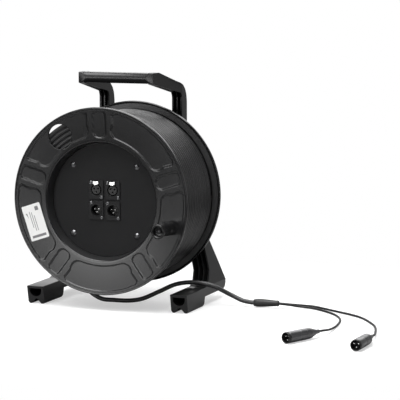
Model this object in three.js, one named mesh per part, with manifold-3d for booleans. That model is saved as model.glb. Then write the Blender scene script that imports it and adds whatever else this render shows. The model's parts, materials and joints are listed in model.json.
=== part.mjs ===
// Free-standing stage cable reel: a drum of cable on a one-sided moulded stand, with audio sockets
// in the drum's front panel and a two-way plug tail lying on the floor. Millimetres, +Z up,
// drum axis along Y, front of the reel towards -Y. Built about the drum axis, the front rim plane
// and the floor, then moved so that the origin is the centre of the whole footprint.
import * as THREE from 'three';
import { mergeVertices } from 'three/addons/utils/BufferGeometryUtils.js';
import Module from 'manifold-3d';

const wasm = await Module();
wasm.setup();

const ORIGIN = [172.781, 26.377, 0]; // footprint centre, from the drum axis and the front rim plane
const GAP = 0.3; // between neighbouring pieces
const AXIS_Z = 181.3; // drum axis above the floor
const FLANGE_R = 155;
const DRUM_W = 153.5; // front rim plane to rear rim plane
const CORE_R = 101.3;
const WOUND_R = 142.8;
const PANEL_R = 94;
const PANEL_Y = 22.6; // panel face behind the front rim plane
const PANEL_T = 2.5;
const LOBE_DEPTH = 1.2;
const LOBE_DEG = [54, 126, 198, 270, 342];
const SPOKE_DEG = [18, 90, 162, 234, 306];
const HAND_HOLE = { deg: 124.2, at: 126.2, r: 20.8 };
const LABEL = { deg: 198.3, at: 124.4, across: 33.4, along: 59.6 };
const KNOB = { deg: 343.1, at: 128.1 };
const PANEL_SCREW = 57; // half the square of panel screws
const SOCKET_X = 14.8;
const SOCKET_Z = 17;
const SOCKET_SCREW = [9.5, 12];
const AXLE_R = 9.8;
const BUSH_R = 14;
const GRIP = { y0: 70, y1: 92, z0: 370.6, z1: 388.6, half: 67.2 };
const POST = { x0: 58, x1: 76.6, y0: 175.2, y1: 197 };
const ARM_TAPER = 9.4; // how much thinner the arms get towards the grip, on their outer side
const FLARE_Z = 186; // legs flare below this height
const FOOT = { x0: 115.1, x1: 144.6, back: 202.5 };
const CABLE_R = 3.7;
const LEAD_R = 1.8;
const FACETS = 40; // round the flanges, core and panel

const COLOURS = {
  plastic: [0x1b1b1c, 0.5, 0],
  panel: [0x161617, 0.45, 0.1],
  cable: [0x1d1d1e, 0.6, 0],
  socket: [0x131314, 0.4, 0.3],
  insert: [0x0c0c0c, 0.6, 0],
  bright: [0xd8d8d6, 0.3, 0.9],
  steel: [0x9a9c9e, 0.35, 0.9],
  bronze: [0x9c7a45, 0.45, 0.8],
  black_screw: [0x222223, 0.4, 0.6],
  label: [0xeeeeec, 0.6, 0],
};

const rad = THREE.MathUtils.degToRad;
const v3 = (x, y, z) => new THREE.Vector3(x, y, z);

// ---------------------------------------------------------------- solids

function solid(geometry) {
  const g = geometry.clone();
  g.deleteAttribute('normal');
  g.deleteAttribute('uv');
  const m = mergeVertices(g, 1e-4);
  const p = m.attributes.position.array;
  const tris = [];
  let volume = 0;
  const at = (i) => v3(p[3 * i], p[3 * i + 1], p[3 * i + 2]);
  for (let i = 0; i < m.index.count; i += 3) {
    const [a, b, c] = [0, 1, 2].map((k) => m.index.getX(i + k));
    if (a === b || b === c || c === a) continue;
    tris.push([a, b, c]);
    volume += at(a).dot(at(b).cross(at(c)));
  }
  const triVerts = new Uint32Array(tris.flatMap(([a, b, c]) => (volume < 0 ? [a, c, b] : [a, b, c])));
  const mesh = new wasm.Mesh({ numProp: 3, vertProperties: new Float32Array(p), triVerts });
  return new wasm.Manifold(mesh);
}

function geometryOf(manifold) {
  const mesh = manifold.getMesh();
  const g = new THREE.BufferGeometry();
  g.setAttribute('position', new THREE.BufferAttribute(Float32Array.from(mesh.vertProperties), 3));
  g.setIndex(new THREE.BufferAttribute(Uint32Array.from(mesh.triVerts), 1));
  const flat = g.toNonIndexed();
  flat.computeVertexNormals();
  return flat;
}

const shapeOf = (points) => new THREE.Shape(points.map(([a, b]) => new THREE.Vector2(a, b)));

// Turned about Y from a closed (radius, y) profile.
function turned(profile, segments = 24) {
  const pts = [...profile, profile[0]].map(([r, y]) => new THREE.Vector2(r, y));
  return solid(new THREE.LatheGeometry(pts, segments));
}

const ring = (r0, r1, y0, y1, segments) => turned([[r0, y0], [r1, y0], [r1, y1], [r0, y1]], segments);
const disc = (r, y0, y1, segments) => ring(0, r, y0, y1, segments);

// A (x, z) outline pushed along Y from y0 to y1.
function alongY(outline, y0, y1) {
  const g = new THREE.ExtrudeGeometry(shapeOf(outline), { depth: y1 - y0, bevelEnabled: false });
  return solid(g.rotateX(Math.PI / 2).translate(0, y1, 0));
}

// A (y, z) outline pushed along X from x0 to x1.
function alongX(outline, x0, x1, warp = null) {
  const g = new THREE.ExtrudeGeometry(shapeOf(outline), { depth: x1 - x0, bevelEnabled: false });
  g.applyMatrix4(new THREE.Matrix4().set(0, 0, 1, x0, 1, 0, 0, 0, 0, 1, 0, 0, 0, 0, 0, 1));
  if (warp) {
    const p = g.attributes.position;
    for (let i = 0; i < p.count; i++) p.setX(i, warp(p.getX(i), p.getY(i)));
  }
  return solid(g);
}

const rod = (x, z, r, y0, y1, segments = 20) => disc(r, y0, y1, segments).translate([x, 0, z]);
const union = (list) => list.reduce((a, b) => a.add(b));
const cut = (body, list) => list.reduce((a, b) => a.subtract(b), body);
const polar = (deg, r) => [r * Math.cos(rad(deg)), r * Math.sin(rad(deg))];

// Same section count at each station, skinned and capped.
function skinned(sections) {
  const n = sections[0].length;
  const pos = sections.flat(2);
  const idx = [];
  for (let s = 0; s + 1 < sections.length; s++) {
    for (let i = 0; i < n; i++) {
      const [a, b] = [s * n + i, s * n + ((i + 1) % n)];
      idx.push(a, b, b + n, a, b + n, a + n);
    }
  }
  const last = (sections.length - 1) * n;
  for (let i = 1; i + 1 < n; i++) idx.push(0, i + 1, i, last, last + i, last + i + 1);
  const g = new THREE.BufferGeometry();
  g.setAttribute('position', new THREE.Float32BufferAttribute(pos, 3));
  g.setIndex(idx);
  return solid(g);
}

function tube(points, radius, steps, sides) {
  const path = new THREE.CatmullRomCurve3(points.map((p) => v3(...p)), false, 'centripetal');
  const circle = new THREE.Shape();
  circle.absarc(0, 0, radius, 0, 2 * Math.PI, false);
  const opts = { steps, curveSegments: sides, extrudePath: path, bevelEnabled: false };
  return solid(new THREE.ExtrudeGeometry(circle, opts));
}

// Turned about its own axis, then laid from point a towards point b.
function laid(profile, a, b, segments = 24) {
  const dir = v3(...b).sub(v3(...a)).normalize();
  const turn = new THREE.Quaternion().setFromUnitVectors(v3(0, 1, 0), dir);
  const pts = [...profile, profile[0]].map(([r, y]) => new THREE.Vector2(r, y));
  const g = new THREE.LatheGeometry(pts, segments).applyQuaternion(turn);
  return solid(g.translate(...a));
}

// ---------------------------------------------------------------- flanges

// Rounded outline between radii r0 and r1. Its sides are radial, or parallel for a narrow spoke.
function sector(deg, half, r0, r1, round0, round1, parallel = false) {
  const mid = (r0 + r1) / 2;
  const steps = 3;
  const reach = (r, round) => (parallel ? (half * mid) / r : half) - (round * 180) / (Math.PI * r);
  const corner = (r, round, side, outward) => {
    const centre = polar(deg + side * reach(r, round), r - outward * round);
    const start = side > 0 ? (outward > 0 ? 0 : 90) : outward > 0 ? -90 : 180;
    return Array.from({ length: steps + 1 }, (_, i) => {
      const [x, z] = polar(deg + start + (90 * i) / steps, round);
      return [centre[0] + x, centre[1] + z];
    });
  };
  const arc = (r, from, to) => (parallel ? [] : [1, 2, 3].map((i) => polar(from + ((to - from) * i) / 4, r)));
  const [in0, out0] = [reach(r0, round0), reach(r1, round1)];
  return [
    ...corner(r1, round1, 1, 1), ...corner(r0, round0, 1, -1), ...arc(r0, deg + in0, deg - in0),
    ...corner(r0, round0, -1, -1), ...corner(r1, round1, -1, 1), ...arc(r1, deg - out0, deg + out0),
  ];
}

// Sunken lobes and spokes: an outline pushed through, kept only within a skin of the dished face.
function sunken(faceAt) {
  const skin = turned(
    [[90, faceAt(90) - 3], [156, faceAt(156) - 3], [156, faceAt(156) + LOBE_DEPTH], [90, faceAt(90) + LOBE_DEPTH]],
    FACETS,
  );
  const outlines = [
    ...LOBE_DEG.map((d) => sector(d, 27.2, 107, 148, 15, 8)),
    ...SPOKE_DEG.map((d) => sector(d, 4.9, 105, 148, 9, 6, true)),
  ];
  return skin.intersect(union(outlines.map((o) => alongY(o, -10, 20))));
}

const faceAt = (r) => 0.9 + ((151 - r) * 3.5) / 51; // front face of the dish at radius r

function frontFlange() {
  const body = turned([
    [72, 25.4], [94.3, 25.4], [94.6, 20], [97.2, 7.6], [97.9, 5.6], [98.9, 4.6], [100, faceAt(100)],
    [151, faceAt(151)], [152.4, 0.2], [153.8, 0], [155, 1.2], [155, 4.4], [153.8, 5.6], [151, 4.1],
    [103, 7.6], [98.3, 7.6], [98.3, 28.6], [72, 28.6],
  ], FACETS);
  const [kx, kz] = polar(KNOB.deg, KNOB.at);
  const [hx, hz] = polar(HAND_HOLE.deg, HAND_HOLE.at);
  const screws = corners(PANEL_SCREW, PANEL_SCREW).map(([x, z]) => rod(x, z, 1.9, 20, 40, 8));
  return cut(body.subtract(sunken(faceAt)).add(rod(kx, kz, 10.5, -5, 3.2)), [
    rod(kx, kz, 3.2, -9, 3.6, 12), rod(hx, hz, HAND_HOLE.r, -5, 15, 24), ...screws,
  ]);
}

function rearFlange() {
  const f = (y) => DRUM_W - y;
  return turned([
    [14.3, 62], [20, 62], [20, 127.6], [98.3, 127.6], [98.3, f(7.6)], [103, f(7.6)],
    [151, f(4.1)], [153.8, f(5.6)], [155, f(4.4)], [155, f(1.2)],
    [153.8, f(0)], [152.4, f(0.2)], [151, f(0.9)], [100, f(faceAt(100))],
    [98.9, f(4.6)], [97.2, f(7.6)], [94.6, f(20)], [94.3, 131.2],
    [48, 131.2], [48, 160], [26, 160], [26, 150], [14.3, 150],
  ], FACETS).subtract(sunken(faceAt).mirror([0, 1, 0]).translate([0, DRUM_W, 0]));
}

function drumCore() {
  const wall = ring(CORE_R - 2.6, CORE_R, 7.9, DRUM_W - 7.9, FACETS);
  return wall.subtract(radial(7.3, 90, 110));
}

// A bar pointing out from the drum axis, where the cable enters the core.
const ENTRY = { deg: 200, y: 118 };
function radial(r, from, to, bore = 0) {
  const a = [...polar(ENTRY.deg, from), ENTRY.y];
  const b = [...polar(ENTRY.deg, to), ENTRY.y];
  const profile = [[bore, 0], [r, 0], [r, to - from], [bore, to - from]];
  return laid(profile, [a[0], a[2], a[1]], [b[0], b[2], b[1]]);
}

function woundCable() {
  return turned([
    [CORE_R + 0.4, 8.1], [CORE_R + 3, 8], [WOUND_R - 4, 5.5], [WOUND_R - 0.8, 6.6], [WOUND_R, 9.5],
    [WOUND_R, DRUM_W - 9.5], [WOUND_R - 0.8, DRUM_W - 6.6], [WOUND_R - 4, DRUM_W - 5.5],
    [CORE_R + 3, DRUM_W - 8], [CORE_R + 0.4, DRUM_W - 8.1],
  ], FACETS);
}

// ---------------------------------------------------------------- panel and sockets

const corners = (dx, dz) => [[-dx, dz], [dx, dz], [-dx, -dz], [dx, -dz]];
const sockets = corners(SOCKET_X, SOCKET_Z); // two female above, two male below
const socketScrews = sockets.flatMap(([x, z]) => [
  [x - SOCKET_SCREW[0], z + SOCKET_SCREW[1]], [x + SOCKET_SCREW[0], z - SOCKET_SCREW[1]],
]);

function connectorPanel() {
  return cut(disc(PANEL_R, PANEL_Y, PANEL_Y + PANEL_T, FACETS), [
    ...corners(PANEL_SCREW, PANEL_SCREW).map(([x, z]) => rod(x, z, 2.1, 20, 30, 8)),
    ...sockets.map(([x, z]) => rod(x, z, 12.1, 20, 30, 24)),
    ...socketScrews.map(([x, z]) => rod(x, z, 1.6, 20, 30, 8)),
  ]);
}

function screw(x, z, faceY, headR, headH, shankR, length) {
  return turned([
    [0, faceY - headH], [headR * 0.55, faceY - headH], [headR * 0.9, faceY - headH * 0.6],
    [headR, faceY], [shankR, faceY], [shankR, faceY + length], [0, faceY + length],
  ], 10).translate([x, 0, z]);
}

const SOCKET_PLATE_Y = PANEL_Y - 2.1; // front face of each socket's plate
const PIN_SPOTS = [[-3.5, 1.9], [3.5, 1.9], [0, -3.5]];
const TAB_Z = 11.2; // release tab above the female socket's centre

function socketShell(x, z, bore, deep, pocket) {
  const [w, h, c] = [13, 15.5, 2.5];
  const outline = [
    [w - c, -h], [w, c - h], [w, h - c], [w - c, h], [c - w, h], [-w, h - c], [-w, c - h], [c - w, -h],
  ];
  const back = SOCKET_PLATE_Y + 22;
  const body = alongY(outline, SOCKET_PLATE_Y, PANEL_Y - 0.1).add(disc(11.8, PANEL_Y - 1, back, 24));
  const holes = [[-SOCKET_SCREW[0], SOCKET_SCREW[1]], [SOCKET_SCREW[0], -SOCKET_SCREW[1]]];
  return cut(body, [
    disc(bore, SOCKET_PLATE_Y - 5, SOCKET_PLATE_Y + deep, 24),
    ...holes.map(([dx, dz]) => rod(dx, dz, 1.6, 10, 30, 8)),
    ...pocket,
  ]).translate([x, 0, z]);
}

const tabOutline = (grow) => {
  const [w, top, bottom] = [5 + grow, 3.4 + grow, 3.4 + grow];
  return [[w - 1, top], [-w + 1, top], [-w, top - 1.5], [-w, 0], [-w + 2.4, -bottom], [w - 2.4, -bottom],
    [w, 0], [w, top - 1.5]].map(([a, b]) => [a, b + TAB_Z]);
};

function femaleSocket(x, z) {
  const pocket = alongY(tabOutline(GAP), SOCKET_PLATE_Y - 5, PANEL_Y - 0.9);
  return socketShell(x, z, 9.3, 18, [pocket]);
}

function femaleInsert(x, z) {
  const y = SOCKET_PLATE_Y;
  const holes = PIN_SPOTS.map(([a, b]) => rod(a, b, 1.4, y - 2, y + 10, 8));
  const body = disc(7.6, y + 0.2, y + 14, 24).add(disc(9, y + 13.8, y + 17.7, 24));
  return cut(body, holes).translate([x, 0, z]);
}

const releaseTab = (x, z) => alongY(tabOutline(0), SOCKET_PLATE_Y - 2.3, SOCKET_PLATE_Y - 0.5)
  .subtract(disc(9.6, 0, 60, 24)).translate([x, 0, z]);

function maleInsert(x, z) {
  const y = SOCKET_PLATE_Y;
  return cut(disc(9, y + 12, y + 17.7, 24), PIN_SPOTS.map(([a, b]) => rod(a, b, 1.5, y + 10, y + 16, 8)))
    .translate([x, 0, z]);
}

const contactPin = (x, z) => turned([
  [0, SOCKET_PLATE_Y + 2], [0.6, SOCKET_PLATE_Y + 2], [1.2, SOCKET_PLATE_Y + 3],
  [1.2, SOCKET_PLATE_Y + 15.7], [0, SOCKET_PLATE_Y + 15.7],
], 8).translate([x, 0, z]);

// ---------------------------------------------------------------- crank knob and label

function crankKnob() {
  const [x, z] = polar(KNOB.deg, KNOB.at);
  return turned([
    [3.4, -5.4], [3.4, -40], [7.6, -40], [7.6, -46.6], [9.4, -48], [11.2, -48], [12.2, -46.8],
    [12.2, -44], [10.9, -39], [10, -28], [10.3, -14], [12, -8], [12, -6.6], [11, -5.4],
  ], 24).translate([x, 0, z]);
}

function crankBolt() {
  const [x, z] = polar(KNOB.deg, KNOB.at);
  return turned([[0, -44.6], [4.6, -44.6], [5.4, -43.6], [5.4, -40.4], [2.9, -40.4], [2.9, 3.2], [0, 3.2]], 20)
    .translate([x, 0, z]);
}

// A sticker in the sunken lobe, tilted with the dish.
function label() {
  const [w, l, c] = [LABEL.across / 2, LABEL.along / 2, 2];
  const outline = [
    [w - c, -l], [w, c - l], [w, l - c], [w - c, l], [c - w, l], [-w, l - c], [-w, c - l], [c - w, -l],
  ];
  const tilt = (Math.atan(3.5 / 51) * 180) / Math.PI;
  const flat = alongY(outline, -0.25, 0).rotate([0, 0, -tilt]);
  const y = faceAt(LABEL.at) + LOBE_DEPTH - 0.6;
  return flat.translate([LABEL.at, y, 0]).rotate([0, -LABEL.deg, 0]);
}

// ---------------------------------------------------------------- stand

const ARM_TOP = [[71, 388.6], [92, 388.6], [153, 371.4], [168, 367.8], [175.6, 365]];
const ARM_UNDER = [[175.6, 341], [174, 345.5], [171, 350.3], [71, 370.4]];
const KNEE = [[197, 334], [195, 345.6], [190, 355], [181, 362.8], [POST.y0, 365.2]];

// Ahead of the posts the outer face closes in towards the fixed inner face.
function taper(x, y) {
  const closed = (ARM_TAPER * Math.max(0, POST.y0 - y)) / (POST.y0 - GRIP.y0);
  const share = (Math.abs(x) - POST.x0) / (POST.x1 - POST.x0);
  return x - Math.sign(x) * closed * share;
}

function sideOf(side, outline, x0, x1, warp) {
  return side > 0 ? alongX(outline, x0, x1, warp) : alongX(outline, -x1, -x0, warp);
}

function arm(side) {
  return sideOf(side, [...ARM_UNDER, ...ARM_TOP].reverse(), POST.x0, POST.x1, taper);
}

function post(side) {
  const outline = [[POST.y0, 170], [197, 170], ...KNEE];
  return sideOf(side, outline, POST.x0, POST.x1);
}

function grip() {
  const section = (x, round) => {
    const pts = [];
    const c = [[GRIP.y1, GRIP.z1, 0], [GRIP.y0, GRIP.z1, 90], [GRIP.y0, GRIP.z0, 180], [GRIP.y1, GRIP.z0, 270]];
    for (const [y, z, a0] of c) {
      const cy = y + (y === GRIP.y0 ? round : -round);
      const cz = z + (z === GRIP.z0 ? round : -round);
      for (let i = 0; i <= 4; i++) {
        const a = rad(a0 + 22.5 * i);
        pts.push([x, cy + round * Math.cos(a), cz + round * Math.sin(a)]);
      }
    }
    return pts;
  };
  const stations = [[-GRIP.half, 1], [-62, 1.4], [-54, 8], [54, 8], [62, 1.4], [GRIP.half, 1]];
  return skinned(stations.map(([x, r]) => section(x, r)));
}

const legX = (edge, z) => edge + ((FLARE_Z - z) * (FOOT.x1 - POST.x1)) / (FLARE_Z - 31);
const LEG_FRONT = [[22, 30.4], [108, 30.4], [130, 38], [150, 52], [160, 69], [167, 85], [172, 98], [POST.y0, 112]];

function leg(side) {
  const outline = [
    [28, 0], [100, 0], [105.4, 15.7], [192, 15.7], [198.2, 18.4], [201.7, 24], [FOOT.back, 31],
    [197, FLARE_Z], [POST.y0, FLARE_Z], ...[...LEG_FRONT].reverse(),
  ];
  const inner = POST.x1 - (FOOT.x1 - FOOT.x0);
  const front = [
    [FOOT.x0 + 3.2, -1], [FOOT.x1 - 3.2, -1], [FOOT.x1, 3.5], [FOOT.x1, 31], [POST.x1, FLARE_Z],
    [inner, FLARE_Z], [FOOT.x0, 31], [FOOT.x0, 3.5],
  ].map(([x, z]) => [side * x, z]);
  return sideOf(side, outline, 40, 150).intersect(alongY(front, 0, 210));
}

// Channels open to the drum, between the side walls and thin ribs.
function channels(side) {
  const cuts = [];
  const slots = [[61, 66.3], [68.3, 73.6]];
  const armPocket = [[92, 352], [172, 335], [175.5, 335], [175.5, 362.2], [167, 364.6], [153, 368], [92, 385.2]];
  const postPocket = [
    [170, 226], [193.6, 226], [193.6, 334], [191.6, 344.5], [187, 352.6], [179, 359.6], [175.1, 361.8],
    [175.1, 340], [170, 340],
  ];
  for (const [a, b] of slots) {
    cuts.push(sideOf(side, armPocket, a, b, taper), sideOf(side, postPocket, a, b));
  }
  for (let i = 0; i < 3; i++) {
    const a = POST.x1 - 29.5 + 3 + 8.5 * i;
    const slot = [[legX(a, 36), 36], [legX(a + 6.5, 36), 36], [legX(a + 6.5, 138), 138], [legX(a, 138), 138]];
    cuts.push(alongY(slot.map(([x, z]) => [side * x, z]), 90, 196));
  }
  return cuts;
}

// Pad groove and the pocket in the foot's nose.
function footCuts(side) {
  const x = (side * (FOOT.x0 + FOOT.x1)) / 2;
  const groove = [[x - 9.8, -1], [x - 1.6, 8], [x, 8.7], [x + 1.6, 8], [x + 9.8, -1]];
  const nose = [[x - 10.8, 26.4], [x - 10.8, 22]];
  for (let i = 1; i < 8; i++) nose.push([x - 10.8 * Math.cos((Math.PI * i) / 8), 22 - 9.8 * Math.sin((Math.PI * i) / 8)]);
  nose.push([x + 10.8, 22], [x + 10.8, 26.4]);
  return [alongY(groove, 15, 110), alongY(nose, 10, 80)];
}

function hubYoke() {
  const arch = [[104, 58], [96, 76], [84, 94], [66, 111], [44, 124], [22, 131], [0, 133]];
  const plate = [
    ...arch.map(([x, z]) => [x, z]), ...[...arch].reverse().slice(1).map(([x, z]) => [-x, z]),
    [-118, 70], [-70, 190], [-62, 224], [-44, 232], [44, 232], [62, 224], [70, 190], [118, 70],
  ];
  const plateSolid = alongY(plate, 184, 192);
  const boss = disc(46, 167.9, 197, 32).translate([0, 0, AXIS_Z]);
  return plateSolid.add(boss);
}

const PUSH_PIN = { at: 30.5, r: 2.4, deg: [90, 210, 330] };

function standFrame() {
  const sides = [-1, 1];
  const body = union([grip(), hubYoke(), ...sides.flatMap((s) => [arm(s), post(s), leg(s)])]);
  const pins = PUSH_PIN.deg.map((d) => {
    const [x, z] = polar(d, PUSH_PIN.at);
    return rod(x, z + AXIS_Z, PUSH_PIN.r + 0.4, 160, 205, 12);
  });
  const bore = rod(0, AXIS_Z, AXLE_R + GAP, 150, 210, 24);
  return cut(body, [...sides.flatMap((s) => [...channels(s), ...footCuts(s)]), bore, ...pins]);
}

// ---------------------------------------------------------------- axle and brake

const axle = () => turned([
  [4.3, 62], [AXLE_R, 62], [AXLE_R, 150.6], [16, 150.6], [16, 167.5], [AXLE_R, 167.5],
  [AXLE_R, 211], [0, 211], [0, 92], [4.3, 92],
], 24);

const retainingWasher = () => ring(4.4, 17.5, 58.9, 61.6, 24);
const retainingBolt = () => turned([
  [0, 51], [6.2, 51], [7, 52], [7, 58.6], [4, 58.6], [4, 88], [0, 88],
], 24);

function axleNut() {
  const hex = Array.from({ length: 6 }, (_, i) => polar(60 * i, 17));
  return alongY(hex, 197.4, 208).subtract(disc(AXLE_R + 0.3, 190, 215, 24));
}

function brakePad() {
  const pins = PUSH_PIN.deg.map((d) => rod(...polar(d, PUSH_PIN.at), PUSH_PIN.r, 165, 198.4, 12));
  return union([ring(27, 46, 161.6, 165.8, 32), ...pins]);
}

function brakeKnob() {
  const body = turned([
    [24, 199], [35, 199], [36, 200.5], [34.5, 221], [32, 223.6], [0, 223.6], [0, 214], [24, 214],
  ], 32);
  const scallops = Array.from({ length: 8 }, (_, i) => rod(...polar(45 * i, 43), 11, 204, 230, 14));
  return cut(body, scallops);
}

// ---------------------------------------------------------------- tail on the floor

const TAIL = [
  [-100, 58, 72], [-80, 58, 53.5], [-58, 58, 31], [-27, 60, 10], [-2, 64, 7.6], [25, 70, 7.5],
  [44, 76, 11], [70, 88, 23], [96, 98, 35], [126, 106, 38.5], [157, 113, 32.5], [184, 120, 19],
  [206, 121.5, 10], [224.4, 121.8, 7.7],
];
const SPLIT = { from: [225, 121.8, 7.7], to: [269, 124, 8.6] };
const LEAD_1 = [
  [269.8, 122.2, 8.4], [283, 128, 6.4], [300, 136, 3.4], [326, 133, 2.3], [357, 111, 2.2], [379, 87, 2.2],
  [396, 55, 2.2], [406, 6, 2.2], [406.5, -27, 2.4], [409.5, -55, 4], [408.6, -75, 7.8], [405.4, -84.1, 9.1],
];
const LEAD_2 = [
  [269.8, 126.2, 8.4], [283, 134, 6.4], [300, 145, 4], [320, 149.5, 2.6], [355, 130, 2.2], [418, 87, 2.2],
  [447, 49, 2.2], [466, 14, 2.2], [481, -40, 2.4], [486.5, -64, 4], [491.6, -84, 7.8], [492.8, -94.8, 9.1],
];
const PLUG_1 = { from: [405.1, -84.9, 9.3], to: [375, -153.4, 9.3] };
const PLUG_2 = { from: [492.8, -95.8, 9.3], to: [490.2, -170.6, 9.3] };

const splitter = () => cut(laid([
  [0, 0], [5.6, 0], [6.5, 5], [6.8, 11], [6.2, 24], [4.4, 40], [3.6, 43.6], [0, 43.6],
], SPLIT.from, SPLIT.to, 20), [laid([[0, -1], [4, -1], [4, 5], [0, 5]], SPLIT.from, SPLIT.to, 20)]);

const plugShell = (p) => laid([
  [7.6, 31.4], [8.6, 31.4], [8.8, 33], [8.8, 74], [8.4, 74.8], [7.7, 74.8],
], p.from, p.to, 24);

const plugBoot = (p) => laid([
  [2.1, 0], [3.4, 0], [4.2, 8], [7.6, 20], [8.6, 24], [8.6, 31.1], [2.1, 31.1],
], p.from, p.to, 24);

// Insulator with its three contact pins standing in the shell's open mouth.
function plugInsert(p) {
  const dir = v3(...p.to).sub(v3(...p.from)).normalize();
  const right = v3(dir.y, -dir.x, 0).normalize();
  const pins = PIN_SPOTS.map(([a, b]) => {
    const at = v3(...p.from).addScaledVector(right, a).add(v3(0, 0, b));
    const end = at.clone().add(dir);
    return laid([[0, 57], [1.2, 57], [1.2, 70], [0.6, 71], [0, 71]], at.toArray(), end.toArray(), 10);
  });
  const disk = laid([[0, 40], [7.3, 40], [7.3, 58], [0, 58]], p.from, p.to, 24);
  return union([disk, ...pins]);
}

// ---------------------------------------------------------------- inside the drum

const gland = () => radial(7, 92, CORE_R - 0.5, 4.6);

function innerLead() {
  const out = (r, dy = 0) => {
    const [x, z] = polar(ENTRY.deg, r);
    return [x, ENTRY.y + dy, z];
  };
  return tube([out(CORE_R - 0.2), out(90), out(76, -6), [-52, 96, 0], [-42, 72, 14], [-36, 56, 22]], 4.2, 12, 5);
}

// ---------------------------------------------------------------- assembly

const root = new THREE.Group();
root.name = 'cable_reel';
const drum = new THREE.Group();
drum.name = 'drum';
drum.position.set(0, 0, AXIS_Z);
root.add(drum);

function add(parent, name, manifold, colour) {
  const [hex, roughness, metalness] = COLOURS[colour];
  const material = new THREE.MeshStandardMaterial({ color: hex, roughness, metalness });
  const mesh = new THREE.Mesh(geometryOf(manifold), material);
  mesh.name = name;
  parent.add(mesh);
}

add(root, 'stand_frame', standFrame(), 'plastic');
add(drum, 'axle', axle(), 'steel');
add(drum, 'axle_nut', axleNut(), 'steel');
add(drum, 'retaining_washer', retainingWasher(), 'steel');
add(drum, 'retaining_bolt', retainingBolt(), 'steel');
add(drum, 'brake_pad', brakePad(), 'insert');
add(drum, 'brake_knob', brakeKnob(), 'plastic');

add(drum, 'front_flange', frontFlange(), 'plastic');
add(drum, 'rear_flange', rearFlange(), 'plastic');
add(drum, 'drum_core', drumCore(), 'plastic');
add(drum, 'bush_front', ring(AXLE_R + GAP, BUSH_R, 62.4, 78, 24), 'bronze');
add(drum, 'bush_rear', ring(AXLE_R + GAP, BUSH_R, 134, 149.8, 24), 'bronze');
add(drum, 'wound_cable', woundCable(), 'cable');
add(drum, 'cable_gland', gland(), 'insert');
add(drum, 'inner_lead', innerLead(), 'cable');
add(drum, 'connector_panel', connectorPanel(), 'panel');
add(drum, 'crank_knob', crankKnob(), 'plastic');
add(drum, 'crank_bolt', crankBolt(), 'steel');
add(drum, 'label', label(), 'label');

corners(PANEL_SCREW, PANEL_SCREW).forEach(([x, z], i) => {
  add(drum, `panel_screw_${i + 1}`, screw(x, z, PANEL_Y - 0.1, 3.6, 2.2, 1.6, 12), 'black_screw');
});
sockets.forEach(([x, z], i) => {
  const female = i < 2;
  const tag = female ? `female_${i + 1}` : `male_${i - 1}`;
  add(drum, `socket_${tag}`, female ? femaleSocket(x, z) : socketShell(x, z, 9.3, 18, []), 'socket');
  add(drum, `insert_${tag}`, female ? femaleInsert(x, z) : maleInsert(x, z), 'insert');
  if (female) add(drum, `release_tab_${i + 1}`, releaseTab(x, z), 'bright');
  else PIN_SPOTS.forEach(([a, b], k) => add(drum, `pin_${i - 1}_${k + 1}`, contactPin(x + a, z + b), 'bright'));
});
socketScrews.forEach(([x, z], i) => {
  add(drum, `socket_screw_${i + 1}`, screw(x, z, SOCKET_PLATE_Y - 0.1, 2.7, 1, 1.3, 8), 'black_screw');
});

add(root, 'tail_cable', tube(TAIL, CABLE_R, 34, 5), 'cable');
add(root, 'y_splitter', splitter(), 'plastic');
add(root, 'lead_1', tube(LEAD_1, LEAD_R, 26, 4), 'cable');
add(root, 'lead_2', tube(LEAD_2, LEAD_R, 26, 4), 'cable');
[PLUG_1, PLUG_2].forEach((p, i) => {
  add(root, `plug_${i + 1}_shell`, plugShell(p), 'socket');
  add(root, `plug_${i + 1}_boot`, plugBoot(p), 'insert');
  add(root, `plug_${i + 1}_insert`, plugInsert(p), 'insert');
});

root.position.set(-ORIGIN[0], -ORIGIN[1], -ORIGIN[2]);
export default root;
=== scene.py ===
"""Looks of the stage cable reel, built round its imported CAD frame. Shapes are in millimetres until placed."""
import json
import math

import bmesh
import bpy
import numpy as np
from mathutils import Matrix, Quaternion, Vector


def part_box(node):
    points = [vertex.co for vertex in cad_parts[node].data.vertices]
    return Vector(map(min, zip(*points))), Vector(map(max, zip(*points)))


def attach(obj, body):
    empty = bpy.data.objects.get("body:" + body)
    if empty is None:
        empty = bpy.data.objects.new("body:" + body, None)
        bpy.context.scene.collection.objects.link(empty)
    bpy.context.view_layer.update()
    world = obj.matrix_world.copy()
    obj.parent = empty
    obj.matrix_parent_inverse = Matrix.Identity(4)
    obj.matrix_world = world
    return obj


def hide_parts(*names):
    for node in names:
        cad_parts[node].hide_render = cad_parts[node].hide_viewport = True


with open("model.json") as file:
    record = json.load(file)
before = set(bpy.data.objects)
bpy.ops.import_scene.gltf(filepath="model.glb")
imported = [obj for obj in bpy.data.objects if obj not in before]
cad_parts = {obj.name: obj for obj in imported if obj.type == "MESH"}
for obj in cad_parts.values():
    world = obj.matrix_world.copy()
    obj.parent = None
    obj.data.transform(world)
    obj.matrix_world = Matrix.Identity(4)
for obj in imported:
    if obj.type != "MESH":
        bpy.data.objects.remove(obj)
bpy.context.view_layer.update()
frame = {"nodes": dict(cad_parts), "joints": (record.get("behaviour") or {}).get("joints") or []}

MM = 0.001

# ---------------------------------------------------------------- driving sizes, in mm

DRUM_W = 153.5  # front rim plane to rear rim plane
WOUND_R = 142.8
CORE_R = 101.3
TURNS = 18  # cable turns side by side across the drum
WINDING_MARGIN = 8.6  # from a rim plane to the first turn

RIM_IN = 151  # radius where the dish meets the rim
FACE_IN, BACK_IN = 100, 103  # radii where the dish's face and back begin
DISH_FALL = 3.5  # how much deeper the dish lies at its inner edge
FACE_Y, BACK_Y = 0.9, 7.6  # face at the rim, and back at the core, behind the rim plane
NECK_R = 98.3  # where the neck round the panel meets the dish, on its hidden side

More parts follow.
